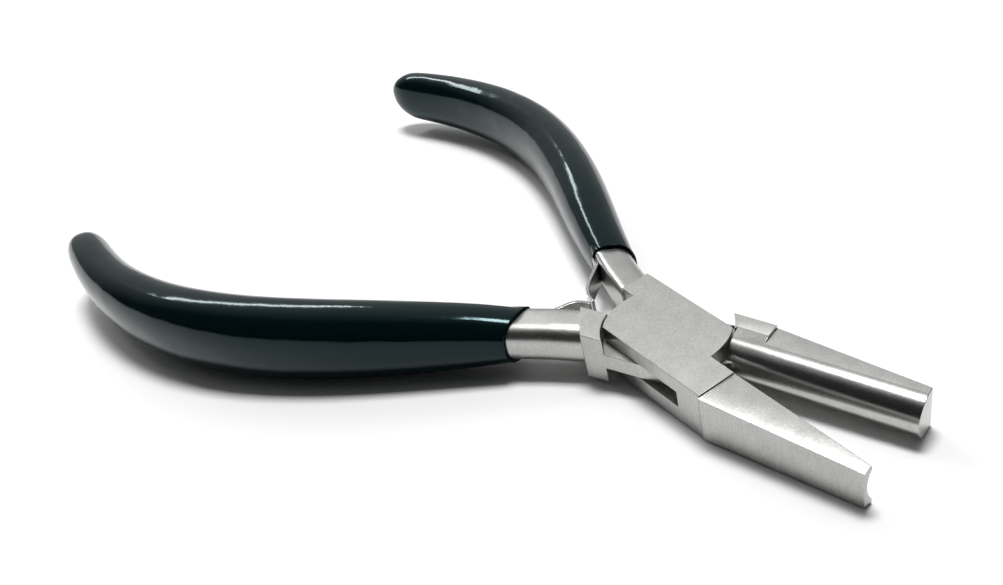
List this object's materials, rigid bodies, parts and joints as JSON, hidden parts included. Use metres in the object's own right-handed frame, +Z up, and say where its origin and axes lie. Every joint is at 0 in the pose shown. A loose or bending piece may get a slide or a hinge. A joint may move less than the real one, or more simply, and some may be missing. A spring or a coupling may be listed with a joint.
{
  "type": "jewellery crimping pliers",
  "caption": "Box-joint jewellery pliers: a half-round jaw closes into a concave jaw to form metal; leaf springs open the dipped handles.",
  "frame": {"origin": "on the pivot axis, on the underside of the box joint", "axes": "+X along the centre line towards the jaws, +Y towards the handle of the box half, +Z up through the box"},
  "size_m": [0.1261, 0.0737, 0.0116],
  "materials": {
    "steel": "satin brushed stainless steel",
    "spring_steel": "bright rolled spring strip",
    "dipped_grip": "gloss dark green dipped PVC"
  },
  "bodies": {
    "box_half_body": {"box_half": "steel", "pivot_pin": "steel", "box_half_spring": "spring_steel", "box_half_grip": "dipped_grip"},
    "male_half_body": {"male_half": "steel", "male_half_spring": "spring_steel", "male_half_grip": "dipped_grip"}
  },
  "joints": [
    {"name": "jaw_pivot", "type": "hinge", "parent": "box_half_body", "child": "male_half_body", "pos_m": [0, 0, 0.0034], "axis": [0, 0, 1], "range_deg": [-17.5, 20], "stiffness_Nm_per_rad": 0.35, "deforming": ["box_half_spring", "male_half_spring"]}
  ]
}
